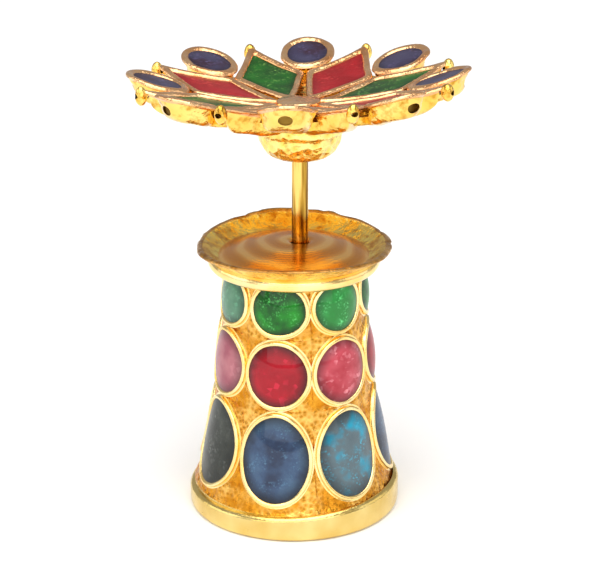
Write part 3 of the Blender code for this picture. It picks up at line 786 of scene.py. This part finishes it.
def dish_profile():
    """From the floor of the bore to the foot of the lip's inner wall, with shares of the post's offset."""
    sink = BORE_RADIUS + COUNTERSINK_WIDTH
    step_foot = dish_height(sink) - COUNTERSINK_DEPTH
    profile = [(BORE_RADIUS, DRUM_HEIGHT - BORE_DEPTH, 1), (BORE_RADIUS, step_foot, 1)]
    countersink = (COUNTERSINK_WIDTH, COUNTERSINK_DEPTH)
    profile += [(*place, 1) for place in arc((sink, step_foot), countersink, 170, 90, COUNTERSINK_STEPS)]
    for step in range(1, DISH_STEPS + 1):
        share = step / DISH_STEPS
        radius = sink + (DISH_RADIUS - sink) * share
        profile.append((radius, dish_height(radius), 1 - share))
    return profile


def lip_profile():
    """From the dish up the lip's flaring inner wall, over its rolled edge and down to the collar."""
    foot = DRUM_HEIGHT - DISH_DEPTH
    roll = LIP_WIDTH / 2
    rim = DRUM_HEIGHT - LIP_ROLL_HEIGHT
    profile = []
    for step in range(1, LIP_STEPS + 1):
        share = step / LIP_STEPS
        radius = DISH_RADIUS + (LIP_RADIUS - LIP_WIDTH - DISH_RADIUS) * share ** LIP_INSIDE_CURVE
        profile.append((radius, foot + (rim - foot) * share))
    profile += arc((LIP_RADIUS - roll, rim), (roll, LIP_ROLL_HEIGHT), 150, -60, LIP_ROLL_STEPS)
    start = LIP_RADIUS - roll / 2
    flare = start - COLLAR_RADIUS + COLLAR_OVERLAP
    for step in range(1, LIP_STEPS):
        share = step / LIP_STEPS
        radius = start - flare * share ** LIP_OUTSIDE_CURVE
        profile.append((radius, DRUM_HEIGHT - LIP_THICKNESS - LIP_FLARE_HEIGHT * share))
    return profile


def collar_profile():
    """The round collar under the lip, tucked in to the top of the wall."""
    half = COLLAR_HEIGHT / 2
    top = DRUM_HEIGHT - LIP_THICKNESS - LIP_FLARE_HEIGHT
    wall = wall_radius(body_top())
    profile = arc((COLLAR_RADIUS - half, top - half), (half, half), 70, -100, COLLAR_STEPS)
    return profile + [(wall + COLLAR_FOOT_WIDTH, body_top() - COLLAR_FOOT_DROP), (wall, body_top())]


def foot_profile():
    """The outside of the foot ring, from its top round both edges to the floor."""
    edge = FOOT_RING_ROUND
    middle = FOOT_RING_RADIUS - edge
    profile = arc((middle, FOOT_RING_HEIGHT - edge), (edge, edge), 90, 0, ARC_STEPS)
    return profile + arc((middle, edge), (edge, edge), 0, -90, ARC_STEPS)


def cap_seat_radius():
    return wall_radius(FOOT_RING_HEIGHT) - WALL + CAP_LEDGE


def inside_profile():
    """From the floor up the step that takes the cap and the inside of the wall, then down the sleeve."""
    seat_height = CAP_THICKNESS + SEAT_GAP
    profile = [
        (cap_seat_radius(), 0.0),
        (cap_seat_radius(), seat_height),
        (cap_seat_radius() - CAP_LEDGE, seat_height),
    ]
    under_dish = DRUM_HEIGHT - DISH_DEPTH - DISH_THICKNESS
    for step in range(WALL_STEPS + 1):
        height = FOOT_RING_HEIGHT + (under_dish - FOOT_RING_HEIGHT) * step / WALL_STEPS
        profile.append((wall_radius(min(height, body_top())) - WALL, height))
    sleeve = BORE_RADIUS + SLEEVE_WALL
    profile.append((sleeve, under_dish + SLEEVE_TOP_SHARE * DISH_RISE, 1))
    profile.append((sleeve, DRUM_HEIGHT - BORE_DEPTH - SLEEVE_FLOOR, 1))
    return profile


def lip_ring(radius, height):
    """A ring of the lip, which bends like a saddle, has small nicks and strays more towards the edge."""
    points = []
    reach = max(0.0, (radius - COLLAR_RADIUS) / (LIP_RADIUS - COLLAR_RADIUS))
    for point in drum_ring(radius, height):
        turn = math.atan2(point.x, -point.y)
        around = Vector((math.cos(turn), math.sin(turn), 0.0))
        stray = LIP_WOBBLE * noise.noise(LIP_WAVES * around + Vector((5.0, 0, 0)))
        nick = noise.noise(NICK_WAVES * around + Vector((0, 3.0, 0)))
        stray += LIP_NICK * min(0.0, nick + NICK_SHARE)
        point = point + outward(point) * reach * (stray - LIP_INSET * LIP_WOBBLE)
        point.z += reach * (LIP_LIFT * stray - LIP_SINK * LIP_WOBBLE)
        point.z += reach * LIP_SADDLE * math.cos(2 * turn)
        points.append(point)
    return points


def uneven_ring(radius, height):
    """A ring of the foot, slightly out of true."""
    points = []
    for point in drum_ring(radius, height):
        stray = RING_WOBBLE * (wave(point, RING_WAVES, 9.0) - 1.0) / 2
        lift = RING_TILT * point.x * point.z / FOOT_RING_HEIGHT
        points.append(point + outward(point) * stray + Vector((0, 0, lift)))
    return points


def make_drum(materials, cells):
    """Lip, dish, sleeve, wall with its bezels, and foot ring, as one closed piece."""
    skin = Skin(DRUM_LOOKS)
    dish = [drum_ring(*place) for place in dish_profile()]
    skin.use("plate")
    skin.fan(dish[0], Vector((POST_OFFSET, 0, DRUM_HEIGHT - BORE_DEPTH)))
    skin.sweep(dish)
    lip = dish[-1:] + [lip_ring(*place) for place in lip_profile()]
    for place, (first, second) in enumerate(zip(lip, lip[1:])):
        # The rolled edge takes a darker copy of the lip's gold, which is painted shade.
        skin.use("lip_edge_painted_shade" if LIP_STEPS <= place < LIP_STEPS + LIP_ROLL_STEPS else "lip")
        skin.bridge(first, second)
    skin.use("bezel")
    skin.sweep(lip[-1:] + [lip_ring(*place) for place in collar_profile()])
    for cell in cells:
        add_cell(skin, cell)
    foot = [drum_ring(wall_radius(FOOT_RING_HEIGHT), FOOT_RING_HEIGHT)]
    foot += [uneven_ring(*place) for place in foot_profile()]
    foot += [drum_ring(*place) for place in inside_profile()]
    skin.use("foot")
    skin.sweep(foot)
    skin.fan(foot[-1], Vector((POST_OFFSET, 0, DRUM_HEIGHT - BORE_DEPTH - SLEEVE_FLOOR)))
    slots = [materials[look] for look in DRUM_LOOKS]
    add_piece("drum_metal", skin, BACK, ["drum"], slots)


def make_drum_enamels(materials, cells):
    for cell in cells:
        look = materials["drum_" + cell.colour + COLUMN_LOOKS[cell.column]]
        name = f"enamel_{cell.colour}_{cell.column + 1}"
        piece = add_piece(name, enamel_skin(cell), BACK, ["drum_" + name], [look])


def make_cap(materials):
    """The flat cap under the drum, with a softened edge."""
    radius = cap_seat_radius() - SEAT_GAP
    profile = [(radius / 2, 0.0), (radius - CAP_EDGE, 0.0), (radius, CAP_EDGE), (radius, CAP_THICKNESS)]
    rings = [drum_ring(*place) for place in profile]
    skin = Skin().loft(rings, Vector((0, 0, 0)), Vector((0, 0, CAP_THICKNESS)))
    add_piece("foot_cap", skin, BACK, ["base_cap"], [materials["lip"]])


# Flower


def post_matrix():
    return Matrix.Translation((POST_OFFSET, 0, BOSS_BOTTOM))


def flower_matrix():
    return post_matrix() @ Matrix.Rotation(-FLOWER_LEAN, 4, "Y") @ Matrix.Rotation(-FLOWER_TILT, 4, "X")


def cup_point(x, y, rise):
    return Vector((x, y, FACE_HEIGHT + (x * x + y * y) / (2 * CUP_RADIUS) + rise))


def inset(corners, distance):
    """A convex outline with every edge moved in by a distance."""
    moved = []
    count = len(corners)
    for i, corner in enumerate(corners):
        before = (corner - corners[i - 1]).normalized()
        after = (corners[(i + 1) % count] - corner).normalized()
        normal = Vector((-after.y, after.x))
        inward = (Vector((-before.y, before.x)) + normal).normalized()
        moved.append(corner + inward * distance / inward.dot(normal))
    return moved


def rounded(corners, radius):
    """The outline with its corners rounded by short curves and points along its edges."""
    points = []
    count = len(corners)
    for i, corner in enumerate(corners):
        before = (corners[i - 1] - corner).normalized()
        after_corner = corners[(i + 1) % count]
        after = (after_corner - corner).normalized()
        start, end = corner + before * radius, corner + after * radius
        for step in range(KITE_CORNER_STEPS + 1):
            t = step / KITE_CORNER_STEPS
            points.append(start * (1 - t) ** 2 + corner * 2 * t * (1 - t) + end * t * t)
        target = after_corner - after * radius
        points += [end.lerp(target, step / KITE_EDGE_STEPS) for step in range(1, KITE_EDGE_STEPS)]
    return points


def kite_outline(shrink):
    corners = [
        Vector((KITE_REACH, 0)),
        Vector((KITE_CORNER_RADIUS, KITE_HALF_WIDTH)),
        Vector((KITE_START_RADIUS, 0)),
        Vector((KITE_CORNER_RADIUS, -KITE_HALF_WIDTH)),
    ]
    return rounded(inset(corners, shrink), KITE_ROUND)


def oval_outline(shrink):
    half_length, half_width = OVAL_LENGTH / 2 - shrink, OVAL_WIDTH / 2 - shrink
    middle = PETALS["oval"].middle
    turns = [2 * math.pi * i / CELL_SIDES for i in range(CELL_SIDES)]
    return [Vector((middle + half_length * math.cos(t), half_width * math.sin(t))) for t in turns]


def petal_angle(kind, place):
    half_step = 0.0 if kind == "oval" else math.pi / PETAL_PAIRS
    return math.pi / 2 - FLOWER_TURN + half_step + 2 * math.pi * place / PETAL_PAIRS


def turned(flat, angle):
    """A flat point turned about the Z axis, as two numbers."""
    cos, sin = math.cos(angle), math.sin(angle)
    return flat.x * cos - flat.y * sin, flat.x * sin + flat.y * cos


def petal_ring(kind, place, shrink, rise, taper=1.0, stray=0.0):
    """A petal's outline on the cup, shrunk about its middle by a taper and made uneven."""
    middle = Vector((PETALS[kind].middle, 0))
    angle = petal_angle(kind, place)
    outline = oval_outline(shrink) if kind == "oval" else kite_outline(shrink)
    ring = []
    for flat in outline:
        flat = middle + (flat - middle) * taper
        point = cup_point(*turned(flat, angle), rise + PETALS[kind].rise)
        if stray:
            away = turned((flat - middle).normalized(), angle)
            push = stray * (wave(point, CAST_WAVES, 2.0) - CAST_INSET)
            point.x += push * away[0]
            point.y += push * away[1]
            point.z += stray * (CAST_LIFT * wave(point, RIM_WAVES, 7.0) - CAST_SINK)
        ring.append(point)
    return ring


def petal_centre(kind, place, rise):
    petal = PETALS[kind]
    angle = petal_angle(kind, place)
    return cup_point(petal.middle * math.cos(angle), petal.middle * math.sin(angle), rise + petal.rise)


def collet_rings(kind, place, shoulder):
    """The outside of a petal's box: rounded foot and tapered wall, up to the rim's shoulder."""
    rings = []
    for step in range(ARC_STEPS + 1):
        turn = math.pi / 2 * step / ARC_STEPS
        shrink = COLLET_ROUND * (1 - math.sin(turn))
        rise = COLLET_ROUND * (1 - math.cos(turn)) - COLLET_HEIGHT
        rings.append(petal_ring(kind, place, shrink, rise, COLLET_TAPER, CAST_WOBBLE))
    for step in range(1, COLLET_STEPS):
        share = step / COLLET_STEPS
        rise = -COLLET_HEIGHT + COLLET_ROUND + (COLLET_HEIGHT - COLLET_ROUND - shoulder) * share
        taper = COLLET_TAPER + (1 - COLLET_TAPER) * share
        rings.append(petal_ring(kind, place, RIM_OVERHANG * share ** 2, rise, taper, CAST_WOBBLE))
    return rings


def setting_skin(kind, place):
    """A petal's box: its outside, its rolled rim and the pocket that holds its enamel."""
    petal = PETALS[kind]
    roll = petal.wall / 2
    shoulder = RIM_SHOULDER_SHARE * roll
    outside = collet_rings(kind, place, shoulder)
    rim = outside[-1:]
    for step in range(RIM_STEPS + 1):
        turn = math.pi * step / RIM_STEPS
        shrink = roll * (1 - math.cos(turn))
        rim.append(petal_ring(kind, place, shrink, shoulder * (math.sin(turn) - 1), stray=RIM_WOBBLE))
    floor = -petal.recess - PETAL_DEPTH
    rim.append(petal_ring(kind, place, petal.wall, floor))
    skin = Skin(SETTING_LOOKS)
    skin.fan(outside[0], petal_centre(kind, place, -COLLET_HEIGHT))
    skin.sweep(outside)
    # The rim takes the gold whose coppery tint is a painted reflection.
    skin.use("rim")
    skin.sweep(rim)
    skin.fan(rim[-1], petal_centre(kind, place, floor))
    return skin


def petal_enamel_skin(kind, place):
    """A petal's enamel, slightly domed and set below the rim."""
    top = -PETALS[kind].recess
    bottom = top - PETAL_DEPTH
    shrink = PETALS[kind].wall - PETAL_OVERLAP
    rings = [petal_ring(kind, place, shrink, bottom), petal_ring(kind, place, shrink, top)]
    shares = [1.0, 1.0]
    for step in range(1, DOME_STEPS):
        share = 1 - step / DOME_STEPS
        rings.append(petal_ring(kind, place, shrink, top + PETAL_DOME * (1 - share * share), share))
        shares.append(share)
    start, end = petal_centre(kind, place, bottom), petal_centre(kind, place, top + PETAL_DOME)
    return Skin().loft(rings, start, end, shares)


def vent_skin(kind, place):
    """The flat oval hole through the outer end of a petal's box."""
    angle = petal_angle(kind, place)
    away = Vector((math.cos(angle), math.sin(angle), 0))
    petal = PETALS[kind]
    foot = cup_point(petal.reach * away.x, petal.reach * away.y, -petal.vent_drop)
    start, end = foot - away * VENT_DEPTH, foot + away * VENT_DEPTH
    turn = (end - start).to_track_quat("Z", "Y").to_matrix()
    ring = []
    for point in ring_points(petal.vent_radius, 0.0, VENT_SIDES):
        ring.append(turn @ Vector((VENT_WIDTH_SHARE * point.x, VENT_HEIGHT_SHARE * point.y, 0)))
    return Skin().loft([[start + point for point in ring], [end + point for point in ring]], start, end)


def moved(skin, matrix):
    skin.points = [tuple(matrix @ Vector(point)) for point in skin.points]
    return skin


def drill(piece, skin, inside):
    """Cuts a hole of a skin's shape out of a piece and gives its inside a material, a dark one that paints the
    shade in the hole.
    """
    mesh = closed_mesh("drill", skin)
    mesh.materials.append(inside)
    cutter = add_object("drill", mesh)
    cut = piece.modifiers.new("drill", "BOOLEAN")
    cut.operation = "DIFFERENCE"
    cut.solver = "EXACT"
    cut.material_mode = "TRANSFER"
    cut.object = cutter
    bpy.context.view_layer.update()
    result = bpy.data.meshes.new_from_object(piece.evaluated_get(bpy.context.evaluated_depsgraph_get()))
    piece.modifiers.clear()
    piece.data = result
    result.set_sharp_from_angle(angle=math.radians(SHARP_ANGLE))
    bpy.data.objects.remove(cutter, do_unlink=True)


def make_setting(kind, place, materials, matrix):
    """One petal's box, with the hole through its outer end."""
    name = f"{kind}_setting_{place + 1}"
    nodes = ["flower_frame"] if (kind, place) == ("oval", 0) else []
    slots = [materials[look] for look in SETTING_LOOKS]
    piece = add_piece(name, moved(setting_skin(kind, place), matrix), STUD, nodes, slots)
    drill(piece, moved(vent_skin(kind, place), matrix), materials["painted_shade_in_holes"])


def make_petals(materials, matrix):
    for kind in ("oval", "kite"):
        for place in range(PETAL_PAIRS):
            make_setting(kind, place, materials, matrix)
            colour = "blue" if kind == "oval" else ("red" if place % 2 else "green")
            node = f"{kind}_enamel_{colour}_{place + 1}"
            skin = moved(petal_enamel_skin(kind, place), matrix)
            piece = add_piece(f"{kind}_petal_{place + 1}", skin, STUD, [node], [materials["petal_" + colour]])


def make_back_plate(materials, matrix):
    """The cupped plate that the petals' boxes are soldered to."""
    top, bottom = -BACK_PLATE_DROP, -BACK_PLATE_DROP - BACK_PLATE_THICKNESS
    edge = OVAL_START + BACK_PLATE_MARGIN
    rings = []
    for rise, order in ((bottom, range(1, PLATE_RINGS + 1)), (top, range(PLATE_RINGS, 0, -1))):
        for step in order:
            ring = []
            for p in ring_points(edge * step / PLATE_RINGS, 0.0, PLATE_SIDES):
                ring.append(cup_point(p.x, p.y, rise + PLATE_WOBBLE * wave(p, CAST_WAVES, 3.0)))
            rings.append(ring)
    skin = Skin().loft(rings, cup_point(0, 0, bottom), cup_point(0, 0, top))
    add_piece("back_plate", moved(skin, matrix), STUD, [], [materials["cast"]])


def make_hub(materials, matrix):
    """The low round button that covers the kites' inner points."""
    low = -BACK_PLATE_DROP - BACK_PLATE_THICKNESS / 2
    rings = [ring_points(HUB_RADIUS, FACE_HEIGHT + low, HUB_SIDES)]
    for radius, rise in arc((0.0, 0.0), (HUB_RADIUS, HUB_RISE), 0, 75, ARC_STEPS):
        ring = ring_points(radius, FACE_HEIGHT + rise, HUB_SIDES)
        rings.append([p * (1 + HUB_WOBBLE * wave(p, LUMP_WAVES, 6.0)) for p in ring])
    skin = Skin().loft(rings, cup_point(0, 0, low), cup_point(0, 0, HUB_RISE))
    # The button takes the rims' gold, whose coppery tint is a painted reflection.
    add_piece("centre_button", moved(skin, matrix), STUD, [], [materials["rim"]])


def make_knob(place, materials, matrix):
    """The rounded knob of metal at a kite's outer point, a little above its rim."""
    angle = petal_angle("kite", place)
    reach = KITE_REACH - KNOB_RADIUS / 2
    half = KNOB_DEPTH / 2
    middle = cup_point(reach * math.cos(angle), reach * math.sin(angle), KNOB_RISE - half)
    rings = []
    for belt in range(1, KNOB_BELTS):
        polar = math.pi * belt / KNOB_BELTS
        ring = ring_points(KNOB_RADIUS * math.sin(polar), -half * math.cos(polar), KNOB_SIDES)
        grown = [KNOB_FULLNESS + KNOB_WOBBLE * wave(middle + p, LUMP_WAVES, 8.0) for p in ring]
        rings.append([middle + p * share for p, share in zip(ring, grown)])
    pole = Vector((0, 0, KNOB_POLE_SHARE * half))
    skin = moved(Skin().loft(rings, middle - pole, middle + pole), matrix)
    piece = add_piece(f"kite_knob_{place + 1}", skin, STUD, [], [materials["cast"]])
    drill(piece, moved(vent_skin("kite", place), matrix), materials["painted_shade_in_holes"])


def boss_profile():
    """Radius, height and roughness of the boss: its flat face, its dome and the ring above."""
    foot = BOSS_HEIGHT - BOSS_RING_HEIGHT
    dome = arc((BOSS_FACE_RADIUS, foot), (BOSS_RADIUS - BOSS_FACE_RADIUS, foot), -86, -4, BOSS_STEPS)
    half = BOSS_RING_HEIGHT / 2
    middle = (BOSS_RING_RADIUS - BOSS_RING_BULGE, foot + half)
    ring = arc(middle, (BOSS_RING_BULGE, half), -80, 80, BOSS_RING_STEPS)
    profile = [(share * BOSS_FACE_RADIUS, 0.0, 0.0) for share in BOSS_FACE_SHARES]
    profile += [(*place, 1.0) for place in dome]
    return profile + [(*place, BOSS_RING_ROUGH) for place in ring]


def make_boss(materials):
    """The boss behind the flower: a rounded, pitted dome with a flat face, under a plain ring."""
    rough_height = BOSS_ROUGH_START * (BOSS_HEIGHT - BOSS_RING_HEIGHT)
    rings = []
    for radius, height, rough in boss_profile():
        lift = min(1.0, height / rough_height) * rough
        ring = []
        for point in ring_points(radius, height, BOSS_SIDES):
            lumps = wave(point, BOSS_WAVES, 5.0) - BOSS_INSET
            stray = BOSS_WOBBLE * (lumps + BOSS_PIT_SHARE * wave(point, PIT_WAVES, 1.0))
            ring.append(point + outward(point) * lift * stray)
        rings.append(ring)
    skin = Skin().loft(rings, Vector((0, 0, 0)), Vector((0, 0, BOSS_HEIGHT)))
    piece = add_piece("boss", moved(skin, post_matrix()), STUD, [], [materials["pitted"]], BOSS_SHARP_ANGLE)


def make_post(materials):
    """The smooth post, with a fillet of solder where it leaves the boss."""
    end = -(BOSS_BOTTOM - DRUM_HEIGHT + POST_GRIP)
    start = end + POST_POINT
    profile = [(POST_TIP_SHARE * POST_RADIUS, end)]
    for step in range(POST_STEPS + 1):
        profile.append((POST_RADIUS, start + (-POST_FILLET - start) * step / POST_STEPS))
    for angle in POST_FILLET_ANGLES:
        out, up = 1 - math.cos(math.radians(angle)), 1 - math.sin(math.radians(angle))
        profile.append((POST_RADIUS + POST_FILLET * out, -POST_FILLET * up))
    profile.append((POST_RADIUS + POST_FILLET, BOSS_HEIGHT / 2))
    rings = [ring_points(radius, height, POST_SIDES) for radius, height in profile]
    skin = Skin().loft(rings, Vector((0, 0, end)), Vector((0, 0, BOSS_HEIGHT / 2)))
    add_piece("post", moved(skin, post_matrix()), STUD, [], [materials["post"]])


# Studio


def make_floor():
    """A plain pale floor, slightly uneven in tone."""
    mesh = bpy.data.meshes.new("floor")
    corners = [(x * FLOOR_REACH, y * FLOOR_REACH, 0) for x, y in ((-1, -1), (1, -1), (1, 1), (-1, 1))]
    mesh.from_pydata(corners, [], [(0, 1, 2, 3)])
    nodes = Nodes("floor_paper")
    nodes.set(Base_Color=nodes.ramp(nodes.noise(0.01, detail=2.0), FLOOR_COLOURS), Roughness=0.9)
    mesh.materials.append(nodes.material)
    add_object("floor", mesh)


def make_lights():
    for name, box in LIGHTS.items():
        light = bpy.data.lights.new(name, "AREA")
        light.shape = "RECTANGLE"
        light.size, light.size_y = box.size
        light.energy = box.power
        lamp = add_object(name, light)
        lamp.location = box.place
        lamp.rotation_euler = (LIGHT_AIM - Vector(box.place)).to_track_quat("-Z", "Y").to_euler()
    world = bpy.data.worlds.new("studio")
    bpy.context.scene.world = world
    world.use_nodes = True
    background = world.node_tree.nodes["Background"]
    background.inputs["Color"].default_value = (1.0, 1.0, 1.0, 1.0)
    background.inputs["Strength"].default_value = WORLD_LIGHT


def make_camera():
    camera = bpy.data.cameras.new("camera")
    camera.sensor_width = SENSOR_WIDTH
    camera.lens = FOCAL_PIXELS / PHOTO_WIDTH * SENSOR_WIDTH
    camera.clip_start = 0.01
    camera.clip_end = 10
    eye = add_object("camera", camera)
    eye.location = (
        0,
        -CAMERA_DISTANCE * math.cos(CAMERA_ELEVATION),
        AXIS_HEIGHT + CAMERA_DISTANCE * math.sin(CAMERA_ELEVATION),
    )
    eye.rotation_euler = (CAMERA_LOOK_AT - eye.location).to_track_quat("-Z", "Y").to_euler()
    bpy.context.scene.camera = eye


materials = make_materials()
cells = make_cells()
make_drum(materials, cells)
make_drum_enamels(materials, cells)
make_cap(materials)
make_petals(materials, flower_matrix())
make_back_plate(materials, flower_matrix())
make_hub(materials, flower_matrix())
for place in range(PETAL_PAIRS):
    make_knob(place, materials, flower_matrix())
make_boss(materials)
make_post(materials)
make_floor()
make_lights()
make_camera()
bpy.context.scene.view_settings.view_transform = "Standard"
bpy.context.view_layer.update()
